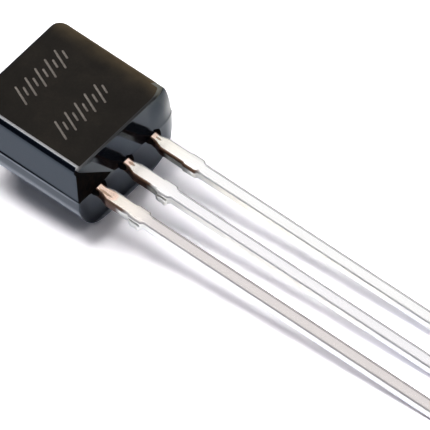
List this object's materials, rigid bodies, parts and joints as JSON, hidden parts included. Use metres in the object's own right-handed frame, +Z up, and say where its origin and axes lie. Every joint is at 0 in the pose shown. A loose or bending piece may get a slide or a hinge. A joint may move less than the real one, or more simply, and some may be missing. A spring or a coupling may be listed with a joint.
{
  "type": "to-92 transistor",
  "caption": "Small plastic transistor: a black epoxy body with one flat face and a half-round back, and straight tinned leads in a row, lying flat face up.",
  "frame": {"origin": "on the bench, under the middle of the part's box", "axes": "+X along the leads towards their tips, +Y towards the base lead, +Z up, away from the bench"},
  "size_m": [0.0184, 0.0046, 0.0041],
  "materials": {
    "epoxy": "black moulding epoxy, matte on the marked flat and glossy on the sides and ends",
    "tinned_copper": "satin tin plate over copper, bare copper at the necks",
    "die_attach": "dull silver-filled adhesive",
    "silicon": "polished silicon",
    "bond_wire": "bright gold wire"
  },
  "bodies": {
    "root": {"epoxy_body": "epoxy", "emitter_lead": "tinned_copper", "collector_lead": "tinned_copper", "base_lead": "tinned_copper", "die_attach": "die_attach", "die": "silicon", "emitter_wire": "bond_wire", "base_wire": "bond_wire"}
  },
  "joints": []
}
